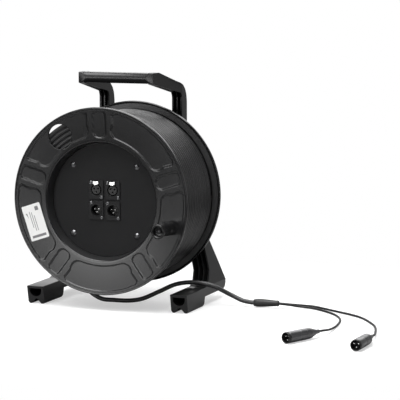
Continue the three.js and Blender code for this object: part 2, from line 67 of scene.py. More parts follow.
EMBOSS = 1.2  # depth of the lobes and spokes
LOBE_DEG = (54, 126, 198, 270, 342)
LOBE = {"half": 27.2, "r0": 107, "r1": 148, "round0": 15, "round1": 8}
SPOKE_DEG = (18, 90, 162, 234, 306)
SPOKE = {"half": 4.9, "r0": 105, "r1": 148, "round0": 9, "round1": 6, "parallel": True}
HAND_HOLE = {"deg": 124.2, "at": 126.2, "r": 20.8}
LABEL = {"deg": 198.3, "at": 124.4, "across": 33.4, "along": 59.6}
KNOB = {"deg": 343.1, "at": 128.1}

PANEL_R = 94
PANEL_Y = 22.6  # panel face behind the front rim plane
PANEL_T = 2.5
PANEL_SCREW = 57
SOCKET = {"x": 14.8, "z": 17, "half_w": 13, "half_h": 15.5, "plate": 2.1, "mouth": 9.3, "r": 11.8, "deep": 22}
SOCKET_SCREW = (9.5, 12)
PIN_SPOTS = ((-3.5, 1.9), (3.5, 1.9), (0, -3.5))
TAB = {"z": 11.2, "half_w": 5.1, "top": 3.2, "drop": 3.3}  # z is above the socket's middle

PANEL_HEAD = {"head_r": 4.9, "head_h": 3.1, "drive": 0.35}
SOCKET_HEAD = {"head_r": 2.7, "head_h": 1.1}
BOLT_HEAD = {"head_r": 4.8, "head_h": 3.4}

CABLE_R = 3.7
LEAD_R = 1.8
PLUG_R = 8.8

TAIL = (  # from the winding's left side, under the drum, over the right foot and to the splitter
    (-146.6, 58, 196), (-142, 58, 148), (-125, 58, 104), (-100, 58, 72), (-80, 58, 53.5), (-58, 58, 31),
    (-27, 60, 10), (-2, 64, 7.6), (25, 70, 7.5), (44, 76, 11), (70, 88, 23), (96, 98, 35),
    (126, 106, 38.5), (157, 113, 32.5), (184, 120, 19), (206, 121.5, 10), (224.4, 121.8, 7.7),
    (228, 122, 7.8),
)
SPLIT = ((225, 121.8, 7.7), (269, 124, 8.6))
LEAD_1 = (
    (267, 122.6, 8.5), (269.8, 122.2, 8.4), (283, 128, 6.4), (300, 136, 3.4), (326, 133, 2.3),
    (357, 111, 2.2), (379, 87, 2.2), (396, 55, 2.2), (406, 6, 2.2), (408.5, -27, 3.2), (410, -52, 5.8),
    (408.4, -74, 8.6), (405.4, -84.1, 9.2),
)
LEAD_2 = (
    (267, 125.8, 8.5), (269.8, 126.2, 8.4), (283, 134, 6.4), (300, 145, 4), (320, 149.5, 2.6),
    (355, 130, 2.2), (418, 87, 2.2), (447, 49, 2.2), (466, 14, 2.2), (481.5, -38, 3.2), (488, -64, 5.8),
    (492, -84, 8.6), (492.8, -94.8, 9.2),
)
PLUGS = (((405.1, -84.9, 9.3), (375, -153.4, 9.3)), ((492.8, -95.8, 9.3), (490.2, -170.6, 9.3)))

ROUND = 128  # steps round a large circle
SHARP = 24  # degrees of turn from which a CAD edge is rounded off
FLANGE_STEPS = 720  # steps round a flange, fine enough for its embossing

# ---------------------------------------------------------------- studio

CAMERA = {"azimuth": 21.38, "elevation": 7.25, "roll": -0.17, "distance": 3.2643, "lens": 178.98}
TARGET = (149.7, 70, 182.55)  # in mm from the drum axis, the front rim plane and the floor

ROOM_FRONT, ROOM_BACK = 0.05, 0.3  # light of the room in front of the object and behind it
FLOOR_R = 1600  # mm
FLOOR_FADE = (0.42, 0.58)  # radii in m between which the floor dissolves
FLOOR_SEEN, FLOOR_BOUNCE = 0.5, 0.32  # floor tone to the camera, and as a reflector
FLOOR_GLOW = 0.5  # what the floor gives off to the camera alone, so that its shadows stay light
SOFTBOXES = (  # name, azimuth, elevation, distance and size in m, power in W
    ("overhead", -5, 80, 2.2, 2.0, 2.0, 88),
    ("key", -12, 52, 2.6, 2.4, 2.0, 45),
    ("front_left", -21, 4.6, 3.0, 1.3, 0.84, 17),
    ("low", -20, -1, 3.0, 1.2, 0.45, 2.6),
    ("front_right", 16, 0, 3.0, 1.0, 0.8, 6),
    ("right", 85, 10, 3.0, 1.6, 1.4, 8),
    ("rear", 195, 30, 3.0, 3.6, 1.8, 45),
)

# ---------------------------------------------------------------- places

AXIS = Vector(next(j for j in frame["joints"] if j["name"] == "drum_spin")["pos_m"])
FRONT_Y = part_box("connector_panel")[0].y - PANEL_Y * MM
DRUM = np.array([AXIS.x, FRONT_Y, AXIS.z])  # drum axis at the front rim plane
FLOOR = np.array([AXIS.x, FRONT_Y, 0.0])  # the same point dropped to the floor
PLATE_Y = PANEL_Y - SOCKET["plate"]


def polar(deg, r):
    return r * math.cos(math.radians(deg)), r * math.sin(math.radians(deg))


def corners(dx, dz):
    return ((-dx, dz), (dx, dz), (-dx, -dz), (dx, -dz))


SOCKET_SPOTS = corners(SOCKET["x"], SOCKET["z"])

# ---------------------------------------------------------------- materials

BROAD, SCUFFS, SMEARS = 22, 160, 60  # noise scales per metre of the tone's drift, of wear and of gloss
RELIEF = 0.0001  # depth of a full-strength bump, in m


def noise_texture(tree, coord, scale, detail, rough=0.55):
    node = tree.nodes.new("ShaderNodeTexNoise")
    node.inputs["Scale"].default_value = scale
    node.inputs["Detail"].default_value = detail
    node.inputs["Roughness"].default_value = rough
    tree.links.new(coord.outputs["Object"], node.inputs["Vector"])
    return node.outputs["Fac"]


def ramp(tree, source, low, high, start=0.3, end=0.7):
    """A value that goes from low to high as the source goes from start to end."""
    node = tree.nodes.new("ShaderNodeMapRange")
    node.inputs["From Min"].default_value = start
    node.inputs["From Max"].default_value = end
    node.inputs["To Min"].default_value = low
    node.inputs["To Max"].default_value = high
    tree.links.new(source, node.inputs["Value"])
    return node.outputs["Result"]


def add_wear(tree, coord, shade, worn):
    """The shade, lightened in patches along raised edges."""
    edge = tree.nodes.new("ShaderNodeNewGeometry")
    rubbed = ramp(tree, edge.outputs["Pointiness"], 0.0, worn, 0.52, 0.6)
    patchy = ramp(tree, noise_texture(tree, coord, SCUFFS, 5, 0.7), 0.0, 1.0, 0.45, 0.62)
    both = tree.nodes.new("ShaderNodeMath")
    both.operation = "MULTIPLY_ADD"
    for source, socket in zip((rubbed, patchy, shade), both.inputs):
        tree.links.new(source, socket)
    return both.outputs["Value"]


def surface(name, tone, rough, metallic=0.0, grain=1400, bump=0.12, mottle=0.18, spread=0.06, worn=0.0,
            specular=0.5):
    """A surface whose tone and roughness drift slowly, with a fine grain and edges that catch wear."""
    mat = bpy.data.materials.new(name)
    mat.use_nodes = True
    tree = mat.node_tree
    bsdf = tree.nodes["Principled BSDF"]
    coord = tree.nodes.new("ShaderNodeTexCoord")
    shade = ramp(tree, noise_texture(tree, coord, BROAD, 4), 1 - mottle, 1 + mottle)
    if worn:
        shade = add_wear(tree, coord, shade, worn)
    scale = tree.nodes.new("ShaderNodeVectorMath")
    scale.operation = "SCALE"
    scale.inputs[0].default_value = tone
    tree.links.new(shade, scale.inputs["Scale"])
    tree.links.new(scale.outputs["Vector"], bsdf.inputs["Base Color"])
    smear = noise_texture(tree, coord, SMEARS, 5, 0.65)
    tree.links.new(ramp(tree, smear, rough - spread, rough + spread), bsdf.inputs["Roughness"])
    bsdf.inputs["Metallic"].default_value = metallic
    bsdf.inputs["Specular IOR Level"].default_value = specular
    relief = tree.nodes.new("ShaderNodeBump")
    relief.inputs["Strength"].default_value = bump
    relief.inputs["Distance"].default_value = RELIEF
    tree.links.new(noise_texture(tree, coord, grain, 2, 0.6), relief.inputs["Height"])
    tree.links.new(relief.outputs["Normal"], bsdf.inputs["Normal"])
    return mat


DRUM_PLASTIC = surface("drum_plastic", (0.0095, 0.0095, 0.0099), 0.19, bump=0.03, mottle=0.1, spread=0.008,
                       worn=0.25)
# Inner faces of the flanges: a lighter copy of the drum plastic, painted light standing in for the light they
# catch, with a broader gloss.
INNER_FACE_PAINTED_LIGHT = surface("inner_face_painted_light", (0.028, 0.028, 0.0287), 0.4, bump=0.06, mottle=0.12, spread=0.04)
# The wall round the panel: a lighter copy of the drum plastic, painted light standing in for the light it
# catches.
NECK_PAINTED_LIGHT = surface("neck_painted_light", (0.02, 0.02, 0.0206), 0.3, bump=0.04, mottle=0.1, spread=0.02)
KNOB_PLASTIC = surface("knob_plastic", (0.007, 0.007, 0.0073), 0.26, bump=0.05, mottle=0.1, spread=0.02,
                       worn=0.15, specular=0.36)
STAND_PLASTIC = surface("stand_plastic", (0.01, 0.01, 0.0104), 0.3, grain=1100, bump=0.045, mottle=0.08,
                        spread=0.02, worn=0.12, specular=0.36)
PANEL_PAINT = surface("panel_paint", (0.0125, 0.0125, 0.013), 0.42, grain=1800, bump=0.08, mottle=0.06,
                      spread=0.02, specular=0.1)
JACKET = surface("cable_jacket", (0.016, 0.016, 0.0165), 0.34, grain=900, bump=0.06, mottle=0.2)
LEAD_JACKET = surface("lead_jacket", (0.008, 0.008, 0.0083), 0.5, grain=1100, bump=0.06, mottle=0.2,
                      specular=0.3)
SOCKET_PAINT = surface("socket_paint", (0.0118, 0.0118, 0.0122), 0.4, grain=2200, bump=0.05, specular=0.14)
INSULATOR = surface("insulator", (0.012, 0.012, 0.012), 0.45, grain=1600, bump=0.08, specular=0.4)
PLUG_METAL = surface("plug_metal", (0.15, 0.15, 0.153), 0.34, metallic=0.9, grain=2000, bump=0.06)
BRIGHT = surface("bright_metal", (0.82, 0.82, 0.81), 0.28, metallic=0.85, grain=1500, bump=0.05, mottle=0.05)
STEEL = surface("zinc_steel", (0.42, 0.43, 0.44), 0.34, metallic=1.0, grain=1200, bump=0.1)
BLACK_STEEL = surface("black_steel", (0.16, 0.16, 0.165), 0.26, metallic=0.9, grain=1500, bump=0.05)
BRONZE = surface("sintered_bronze", (0.42, 0.28, 0.12), 0.5, metallic=0.9, grain=900, bump=0.3)
LABEL_FILM = surface("label_film", (0.75, 0.75, 0.74), 0.4, grain=2600, bump=0.05, mottle=0.02)
LABEL_INK = surface("label_ink", (0.16, 0.16, 0.165), 0.5, grain=2600, bump=0.05, mottle=0.1)
LINING = surface("brake_lining", (0.03, 0.028, 0.026), 0.8, grain=700, bump=0.5)

# ---------------------------------------------------------------- mesh helpers


def piece(name, points, faces, material, origin=DRUM, crease=32):
    """A mesh object from points in mm, with its faces turned outwards."""
    mesh = bpy.data.meshes.new(name)
    mesh.from_pydata((np.asarray(points, float) * MM + origin).tolist(), [], faces)
    work = bmesh.new()
    work.from_mesh(mesh)
    bmesh.ops.remove_doubles(work, verts=work.verts, dist=2e-6)
    bmesh.ops.recalc_face_normals(work, faces=work.faces)
    work.to_mesh(mesh)
    work.free()
    return shown(name, mesh, material, crease)


def shown(name, mesh, material, crease):
    """An object in the scene for the mesh, smooth except where its faces meet at more than the crease."""
    mesh.materials.clear()
    mesh.materials.append(material)
    mesh.shade_smooth()
    mesh.set_sharp_from_angle(angle=math.radians(crease))
    obj = bpy.data.objects.new(name, mesh)
    bpy.context.scene.collection.objects.link(obj)
    return obj


def join(name, objects):
    """One object from several, keeping each one's material."""
    for obj in bpy.context.selected_objects:
        obj.select_set(False)
    for obj in objects:
        obj.select_set(True)
    bpy.context.view_layer.objects.active = objects[0]
    bpy.ops.object.join()
    objects[0].name = name
    objects[0].data.name = name
    return objects[0]


def repaint(skin, material, within):
    """Gives a second material to the faces for which within(radius, y) is true."""
    skin.data.materials.append(material)
    for face in skin.data.polygons:
        x, y, z = (face.center - Vector(DRUM)) / MM
        if within(math.hypot(x, z), y):
            face.material_index = len(skin.data.materials) - 1


def fillet(outline, radius, steps, closed=True):
    """The outline with each corner rounded, by less where its sides are short."""
    pts = [Vector(p) for p in outline]
    out = []
    for i, p in enumerate(pts):
        if not closed and i in (0, len(pts) - 1):
            out.append(tuple(p))
            continue
        a, b = pts[i - 1] - p, pts[(i + 1) % len(pts)] - p
        if min(a.length, b.length) < 1e-6:
            continue
        half = a.angle(b, math.pi) / 2
        reach = min(radius / max(math.tan(half), 1e-3), 0.45 * a.length, 0.45 * b.length)
        start, end = p + a.normalized() * reach, p + b.normalized() * reach
        for k in range(steps + 1):
            t = k / steps
            out.append(tuple(start * (1 - t) ** 2 + p * (2 * t * (1 - t)) + end * t * t))
    return out


def grid_faces(rows, cols, close_rows=False, close_cols=False):
    """Quads over rows of points, each row holding cols of them."""
    r = np.arange(rows if close_rows else rows - 1)
    c = np.arange(cols if close_cols else cols - 1)
    r, c = np.meshgrid(r, c, indexing="ij")
    r1, c1 = (r + 1) % rows, (c + 1) % cols
    return np.stack([r * cols + c, r * cols + c1, r1 * cols + c1, r1 * cols + c], 2).reshape(-1, 4).tolist()


def lathe(profile, steps, closed=True):
    """Points and faces of a (radius, y) profile turned about the Y axis."""
    prof = np.asarray(profile, float)
    ang = np.linspace(0, 2 * math.pi, steps, endpoint=False)
    pts = np.stack([
        prof[:, :1] * np.cos(ang), np.repeat(prof[:, 1:2], steps, 1), prof[:, :1] * np.sin(ang),
    ], 2).reshape(-1, 3)
    return pts, grid_faces(len(prof), steps, closed, True)


def turned(name, profile, material, at=(0, 0), radius=0.4, steps=64, closed=True):
    """A rounded profile turned about the drum's axis direction, at an (x, z) place on the drum."""
    pts, faces = lathe(fillet(profile, radius, 3, closed), steps, closed)
    return piece(name, pts + np.array([at[0], 0, at[1]]), faces, material)


def along(points, line):
    """Points about the Y axis, turned and moved so that the axis runs along the line from its first point."""
    a, b = Vector(line[0]), Vector(line[1])
    turn = np.array(Vector((0, 1, 0)).rotation_difference(b - a).to_matrix())
    return np.asarray(points) @ turn.T + np.array(a)


def laid(name, profile, line, material, radius, steps=48, closed=True):
    """A rounded profile turned about its own axis, then laid along a line above the floor."""
    pts, faces = lathe(fillet(profile, radius, 3, closed), steps, closed)
    return piece(name, along(pts, line), faces, material, FLOOR)


def circle(r, steps, at=(0, 0)):
    spots = (polar(360 * i / steps, r) for i in range(steps))
    return [(at[0] + x, at[1] + z) for x, z in spots]


def box_outline(half_w, half_h, radius, at=(0, 0), steps=5):
    outline = [(-half_w, -half_h), (half_w, -half_h), (half_w, half_h), (-half_w, half_h)]
    return [(x + at[0], z + at[1]) for x, z in fillet(outline, radius, steps)]


def plate(name, outlines, front, back, edge, material, at=(0, 0)):
    """A flat piece in the XZ plane with rounded rims. Its first outline is the edge, the rest are holes."""
    curve = bpy.data.curves.new(name, "CURVE")
    curve.dimensions, curve.fill_mode = "2D", "BOTH"
    curve.extrude = ((back - front) / 2 - edge) * MM
    curve.bevel_depth, curve.bevel_resolution = edge * MM, 2
    curve.offset = -edge * MM
    for outline in outlines:
        spline = curve.splines.new("POLY")
        spline.points.add(len(outline) - 1)
        for point, (x, z) in zip(spline.points, outline):
            point.co = (x * MM, z * MM, 0, 1)
        spline.use_cyclic_u = True
    holder = bpy.data.objects.new(name, curve)
    bpy.context.scene.collection.objects.link(holder)
    bpy.context.view_layer.update()
    mesh = bpy.data.meshes.new_from_object(holder.evaluated_get(bpy.context.evaluated_depsgraph_get()))
    bpy.data.objects.remove(holder)
    upright = Matrix.Rotation(math.pi / 2, 4, "X")
    place = Matrix.Translation(Vector(DRUM) + Vector((at[0], (front + back) / 2, at[1])) * MM)
    mesh.transform(place @ upright)
    return shown(name, mesh, material, 40)


def smooth_path(points, per_span=10):
    """Centripetal Catmull-Rom through the points."""
    p = [np.array(q, float) for q in points]
    p = [2 * p[0] - p[1], *p, 2 * p[-1] - p[-2]]
    out = []
    for i in range(1, len(p) - 2):
        d0, d1, d2 = (math.sqrt(np.linalg.norm(p[i + k] - p[i + k - 1])) for k in (0, 1, 2))
        m1 = d1 * ((p[i] - p[i - 1]) / d0 - (p[i + 1] - p[i - 1]) / (d0 + d1) + (p[i + 1] - p[i]) / d1)
        m2 = d1 * ((p[i + 1] - p[i]) / d1 - (p[i + 2] - p[i]) / (d1 + d2) + (p[i + 2] - p[i + 1]) / d2)
        for t in np.arange(per_span) / per_span:
            out.append((2 * t**3 - 3 * t**2 + 1) * p[i] + (t**3 - 2 * t**2 + t) * m1
                       + (3 * t**2 - 2 * t**3) * p[i + 1] + (t**3 - t**2) * m2)
    return np.array([*out, p[-2]])


def tube(name, points, radius, material, sides=20):
    """A round cable along a smooth path above the floor."""
    path = smooth_path(points)
    ahead = np.gradient(path, axis=0)
    ahead /= np.linalg.norm(ahead, axis=1)[:, None]
    across = Vector(ahead[0]).orthogonal().normalized()
    rings = []
    for i, (centre, direction) in enumerate(zip(path, ahead)):
        if i:
            across = Vector(ahead[i - 1]).rotation_difference(Vector(direction)) @ across
        up = Vector(direction).cross(across)
        for k in range(sides):
            a = 2 * math.pi * k / sides
            rings.append(centre + radius * (math.cos(a) * np.array(across) + math.sin(a) * np.array(up)))
    faces = grid_faces(len(path), sides, False, True)
    last = (len(path) - 1) * sides
    faces += [list(range(sides)), [last + k for k in range(sides)]]
    return piece(name, rings, faces, material, FLOOR)


def softened(node, width, material):
    """A copy of a CAD node with its sharp edges rounded off."""
    work = bmesh.new()
    work.from_mesh(frame["nodes"][node].data)
    bmesh.ops.remove_doubles(work, verts=work.verts, dist=1e-6)
    bmesh.ops.dissolve_limit(work, angle_limit=math.radians(0.5), verts=work.verts, edges=work.edges)
    mesh = bpy.data.meshes.new(node + "_soft")
    work.to_mesh(mesh)
    work.free()
    obj = shown(node + "_soft", mesh, material, 40)
    bevel = obj.modifiers.new("edges", "BEVEL")
    bevel.width = width * MM
    bevel.segments = 3
    bevel.limit_method = "ANGLE"
    bevel.angle_limit = math.radians(SHARP)
    bevel.harden_normals = True
    bevel.miter_outer = "MITER_ARC"
    return obj


def settle(obj, body, node):
    """Rides the piece on its body and hides the CAD node it stands for."""
    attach(obj, body)
    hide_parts(node)


# ---------------------------------------------------------------- flanges


def sector(deg, half, r0, r1, round0, round1, parallel=False):
    """Rounded outline between two radii. Its sides are radial, or parallel for a narrow spoke."""
    mid = (r0 + r1) / 2
    steps = 8

    def reach(r, rounding):
        return (half * mid / r if parallel else half) - math.degrees(rounding / r)

    def corner(r, rounding, side, outward):
        cx, cz = polar(deg + side * reach(r, rounding), r - outward * rounding)
        start = (0 if outward > 0 else 90) if side > 0 else (-90 if outward > 0 else 180)
        arc = [polar(deg + start + 90 * i / steps, rounding) for i in range(steps + 1)]
        return [(cx + x, cz + z) for x, z in arc]

    def arc(r, a, b):
        return [] if parallel else [polar(a + (b - a) * i / 10, r) for i in range(1, 10)]

    inner, outer = reach(r0, round0), reach(r1, round1)
    return [
        *corner(r1, round1, 1, 1), *corner(r0, round0, 1, -1), *arc(r0, deg + inner, deg - inner),
        *corner(r0, round0, -1, -1), *corner(r1, round1, -1, 1), *arc(r1, deg - outer, deg + outer),
    ]


def inside_distance(points, outline):
    """How far each point is inside the outline, negative outside it."""
    a = np.array(outline)
    b = np.roll(a, -1, 0)
    edge = b - a
    to = points[:, None] - a[None]
    t = np.clip((to * edge).sum(2) / (edge * edge).sum(1), 0, 1)
    gap = np.linalg.norm(to - t[..., None] * edge, axis=2).min(1)
    above = (a[None, :, 1] > points[:, None, 1]) != (b[None, :, 1] > points[:, None, 1])
    with np.errstate(divide="ignore", invalid="ignore"):
        cross = points[:, None, 0] < edge[:, 0] * to[..., 1] / edge[:, 1] + a[:, 0]
    return np.where((above & cross).sum(1) % 2 == 1, gap, -gap)


EMBOSSED = [(d, sector(d, **LOBE)) for d in LOBE_DEG] + [(d, sector(d, **SPOKE)) for d in SPOKE_DEG]


def face_at(r):
    """Front face of the dish at radius r."""
    return FACE_Y + (RIM_IN - r) * DISH_FALL / (RIM_IN - FACE_IN)


def back_at(r):
    """Back face of the dish at radius r."""
    return BACK_Y - (r - BACK_IN) * DISH_FALL / (RIM_IN - BACK_IN)


def sunk(points):
    """Depth of the lobes and spokes at each (x, z) point, with softly sloped walls."""
    wall = 0.6  # half the slope's width
    depth = np.zeros(len(points))
    radius = np.hypot(points[:, 0], points[:, 1])
    turn = np.degrees(np.arctan2(points[:, 1], points[:, 0]))
    for deg, outline in EMBOSSED:
        near = (np.abs((turn - deg + 180) % 360 - 180) < 32) & (radius > 102) & (radius < RIM_IN)
        t = np.clip(0.5 + inside_distance(points[near], outline) / (2 * wall), 0, 1)
        depth[near] = np.maximum(depth[near], EMBOSS * t * t * (3 - 2 * t))
    return depth


RIM = fillet((
    (151.4, face_at(RIM_IN)), (152.3, 0.25), (153.8, 0), (155, 1.2), (155, 4.4), (153.8, 5.6), (RIM_IN, 4.1),
), 1.0, 4, False)
NECK = fillet((
    (94.3, 25.4), (94.6, 20), (97.2, 7.6), (98.1, 5.4), (99.6, face_at(99.6)), (102.4, face_at(102.4)),
), 1.6, 4, False)


def flange(hidden):
    """Points and faces of a dished, embossed flange ring with its rim. hidden closes its profile."""
    face_r = np.linspace(102.6, 150.8, 86)
    back_r = np.linspace(150, BACK_IN, 60)
    profile = [*NECK, *((r, face_at(r)) for r in face_r), *RIM, *((r, back_at(r)) for r in back_r), *hidden]
    pts, faces = lathe(profile, FLANGE_STEPS)
    band = pts.reshape(len(profile), FLANGE_STEPS, 3)[len(NECK):len(NECK) + len(face_r)]
    band[..., 1] += sunk(band[..., [0, 2]].reshape(-1, 2)).reshape(band.shape[:2])
    return pts, faces


def pierced(pts, faces):
    """Cuts the round hand hole: faces inside it go, and the points on its edge move onto the circle."""
    centre = np.array(polar(HAND_HOLE["deg"], HAND_HOLE["at"]))
    offset = pts[:, [0, 2]] - centre
    gap = np.linalg.norm(offset, axis=1)
    within = gap < HAND_HOLE["r"]
    quads = np.array(faces)
    kept = quads[~within[quads].all(1)]
    moved = np.zeros(len(pts), bool)
    moved[np.unique(kept)] = True
    moved &= within
    on_edge = centre + offset[moved] * (HAND_HOLE["r"] / gap[moved])[:, None]
    pts[moved, 0], pts[moved, 2] = on_edge[:, 0], on_edge[:, 1]
    return pts, kept.tolist()


def beside_winding(r, depth):
    """Whether a point at this depth behind its flange's rim is on the face beside the winding, painted lighter
    as a stand-in for the light it catches.
    """
    return 102 < r < RIM_IN and abs(depth - back_at(r)) < 0.3


def on_neck(r, y):
    """Whether a point is on the wall round the panel, which is painted lighter as a stand-in for the light it
    catches.
    """
    return r < 98 and 6 < y < 25


def front_flange():
    pts, faces = pierced(*flange([(NECK_R, BACK_Y), (NECK_R, 28.6), (72, 28.6), (72, 25.4)]))
    ring = piece("front_ring", pts, faces, DRUM_PLASTIC, crease=50)
    # The face beside the winding gets the lighter copy of the drum plastic: painted light.
    repaint(ring, INNER_FACE_PAINTED_LIGHT, beside_winding)
    # The wall round the panel gets a lighter copy of the drum plastic: painted light.
    repaint(ring, NECK_PAINTED_LIGHT, on_neck)
    boss = turned("knob_boss", [(3.2, 3.4), (3.2, -5), (9.6, -5), (10.5, -4.2), (11.6, 3.4)], DRUM_PLASTIC,
                  polar(KNOB["deg"], KNOB["at"]))
    return join("front_flange_skin", [ring, boss, hole_lip()])


def hole_lip():
    """The rounded wall of the hand hole, following the dish from front to back."""
    steps = 96
    centre = polar(HAND_HOLE["deg"], HAND_HOLE["at"])
    section = [(1.0, 0.02), (0.45, 0.06), (0.12, 0.3), (0, 0.9)]  # out from the hole, and down from the face
    rows = []
    for front, half in ((True, section), (False, section[::-1])):
        for out, down in half:
            ring = np.array(circle(HAND_HOLE["r"] + out - 0.02, steps, centre))
            r = np.hypot(ring[:, 0], ring[:, 1])
            y = face_at(r) + sunk(ring) + down - 0.05 if front else back_at(r) - down + 0.05
            rows.append(np.stack([ring[:, 0], y, ring[:, 1]], 1))
    return piece("hole_lip", np.concatenate(rows), grid_faces(len(rows), steps, False, True), DRUM_PLASTIC)


def rear_flange():
    pts, faces = flange([
        (NECK_R, BACK_Y), (NECK_R, 25.9), (20, 25.9), (20, 91.5), (14.3, 91.5), (14.3, 3.5), (26, 3.5),
        (26, -6.5), (48, -6.5), (48, 22.3), (94.3, 22.3),
    ])
    pts[:, 1] = DRUM_W - pts[:, 1]
    skin = piece("rear_flange_skin", pts, faces, DRUM_PLASTIC, crease=50)
    # Its face beside the winding gets the lighter copy of the drum plastic: painted light.
    repaint(skin, INNER_FACE_PAINTED_LIGHT, lambda r, y: beside_winding(r, DRUM_W - y))
    return skin


# ---------------------------------------------------------------- winding


def outer_turns(steps, pitch):
    """One helix of touching turns. Each end of it closes on its flange, and the turns wander and sag."""
    across = 11
    half = pitch / 2
    turn = np.linspace(0, TURNS, TURNS * steps + 1)[:, None]
    theta = 2 * math.pi * turn
    phi = np.linspace(-80, 80, across)[None] * math.pi / 180
    drift = 0.12 * np.sin(0.61 * theta + 1.0) * np.sin(0.17 * theta)
    sag = 0.3 + 0.2 * np.sin(0.37 * theta + 2.0) * np.sin(0.11 * theta)
    middle = WINDING_MARGIN + pitch * (
        turn + 0.5 * np.clip(1 - turn, 0, 1) - 0.5 * np.clip(turn - TURNS + 1, 0, 1))
    y = np.clip(middle + half * np.sin(phi) / math.sin(phi[0, -1]) + drift,
                WINDING_MARGIN - half, DRUM_W - WINDING_MARGIN + half)
    r = WOUND_R - half - sag + half * np.cos(phi)
    pts = np.stack([r * np.cos(theta), y, r * np.sin(theta)], 2).reshape(-1, 3)
    return pts, grid_faces(len(turn), across)


def side_turns(steps, pitch, front):
    """The rings of turns that lie against one flange."""
    half = pitch / 2
    radii = np.linspace(CORE_R + 0.6, WOUND_R - 0.6, 120)
    off = np.abs((((WOUND_R - radii) / pitch) % 1) - 0.5) * pitch
    y = back_at(radii) + 0.7 + half * (1 - np.sqrt(np.clip(1 - (off / half) ** 2, 0, 1)))
    return lathe(np.stack([radii, y if front else DRUM_W - y], 1), steps, False)


def wound_cable():
    steps = 240
    pitch = (DRUM_W - 2 * WINDING_MARGIN) / TURNS
    rows, faces = [], []
    sides = (side_turns(steps, pitch, front) for front in (True, False))
    for pts, own in (outer_turns(steps, pitch), *sides):
        faces += (np.array(own) + sum(len(x) for x in rows)).tolist()
        rows.append(pts)
    return piece("wound_cable_turns", np.concatenate(rows), faces, JACKET, crease=180)


# ---------------------------------------------------------------- panel and sockets


def connector_panel():
    holes = [circle(2.1, 20, p) for p in corners(PANEL_SCREW, PANEL_SCREW)]
    holes += [circle(12.1, 40, p) for p in SOCKET_SPOTS]
    edge = circle(PANEL_R, ROUND)
    return plate("panel_face", [edge, *holes], PANEL_Y, PANEL_Y + PANEL_T, 0.3, PANEL_PAINT)


def screw(name, x, z, seat, head_r, head_h, drive=0.62):
    """A domed head with a cross recess, whose arms reach out to this share of the radius."""
    rings, steps = 18, 48
    r = np.linspace(0, 1, rings)[:, None] * head_r
    a = np.linspace(0, 2 * math.pi, steps, endpoint=False)[None]
    px, pz = r * np.cos(a + 0.4), r * np.sin(a + 0.4)
    dome = head_h * (1 - 0.8 * (r / head_r) ** 2)
    arm = np.minimum(np.abs(px), np.abs(pz)) / (head_r * drive * 0.21)
    end = np.maximum(np.abs(px), np.abs(pz)) / (head_r * drive)
    recess = np.clip(1.6 - arm, 0, 1) * np.clip((1 - end) * 5, 0, 1)
    y = seat - dome + recess * head_h * drive
    top = np.stack([r * np.cos(a), y, r * np.sin(a)], 2).reshape(-1, 3)
    rim = top[-steps:].copy()
    rim[:, 1] = seat
    pts = np.concatenate([top, rim]) + np.array([x, 0, z])
    return piece(name, pts, grid_faces(rings + 1, steps, False, True), BLACK_STEEL, crease=40)


def socket_turned(name, profile, material, at, radius, steps=64, closed=False):
    """A turned part of a socket, whose profile counts from the face of the socket's plate."""
    return turned(name, [(r, PLATE_Y + y) for r, y in profile], material, at, radius, steps, closed)


def keyhole():
    """A socket's mouth with room above it for the release tab."""
    mouth, side, top = SOCKET["mouth"], 5.6, TAB["z"] + 3.3
    start = math.degrees(math.acos(side / mouth))
    arc = [polar(start - (180 + 2 * start) * i / 48, mouth) for i in range(49)]
    return arc + fillet([(-side, mouth), (-side, top), (side, top), (side, mouth)], 1.2, 3, False)


def socket_shell(name, at, keyed):
    """A socket's plate and barrel. A keyed one has room in its plate for a release tab, and no collar in front
    of its plate.
    """
    mouth, outer, deep = SOCKET["mouth"], SOCKET["r"], SOCKET["deep"]
    dx, dz = SOCKET_SCREW
    holes = [keyhole() if keyed else circle(mouth, 48)]
    holes += [circle(1.6, 16, spot) for spot in ((-dx, dz), (dx, -dz))]
    edge = box_outline(SOCKET["half_w"], SOCKET["half_h"], 2.6)
    face = plate(name + "_plate", [edge, *holes], PLATE_Y, PANEL_Y - 0.1, 0.35, SOCKET_PAINT, at)
    lip = [(mouth, 1.4), (outer, 1.4)] if keyed else [(mouth, -0.5), (10.4, -0.5), (10.9, 0.3), (outer, 1)]
    barrel = socket_turned(name + "_collar", [*lip, (outer, deep), (mouth, deep)], SOCKET_PAINT, at, 0.3,
                           closed=True)
    end = [(0, 18), (mouth, 18), (mouth, 21.9), (0, 21.9)]
    return join(name + "_shell", [face, barrel, socket_turned(name + "_back", end, INSULATOR, at, 0.2, 32)])


def tab_outline():
    """Flat on top, rounded below, over the socket's mouth."""
    half, top, drop = TAB["half_w"], TAB["top"], TAB["drop"]
    below = [polar(180 + 180 * i / 10, 1) for i in range(11)]
    return fillet([(half, top), (-half, top)] + [(x * half, 0.4 + z * drop) for x, z in below], 0.9, 3)


def release_tab(name, x, z):
    return plate(name, [tab_outline()], PLATE_Y - 2.3, PLATE_Y - 0.5, 0.5, BRIGHT, (x, z + TAB["z"] - 0.4))


def female_insert(name, at):
    holes = [circle(1.4, 16, p) for p in PIN_SPOTS]
    face = plate(name + "_face", [circle(7.6, 48), *holes], PLATE_Y + 0.2, PLATE_Y + 9, 0.4, INSULATOR, at)
    base = [(0, 9), (7.5, 9), (9, 13.8), (9, 17.7), (0, 17.7)]
    return join(name, [face, socket_turned(name + "_base", base, INSULATOR, at, 0.3, 40)])


def female_socket(number, x, z):
    settle(release_tab(f"tab_{number}", x, z), f"latch_{number}", f"release_tab_{number}")
    insert = female_insert(f"female_face_{number}", (x, z))
    settle(insert, "drum", f"insert_female_{number}")
    shell = socket_shell(f"female_{number}", (x, z), True)
    settle(shell, "drum", f"socket_female_{number}")


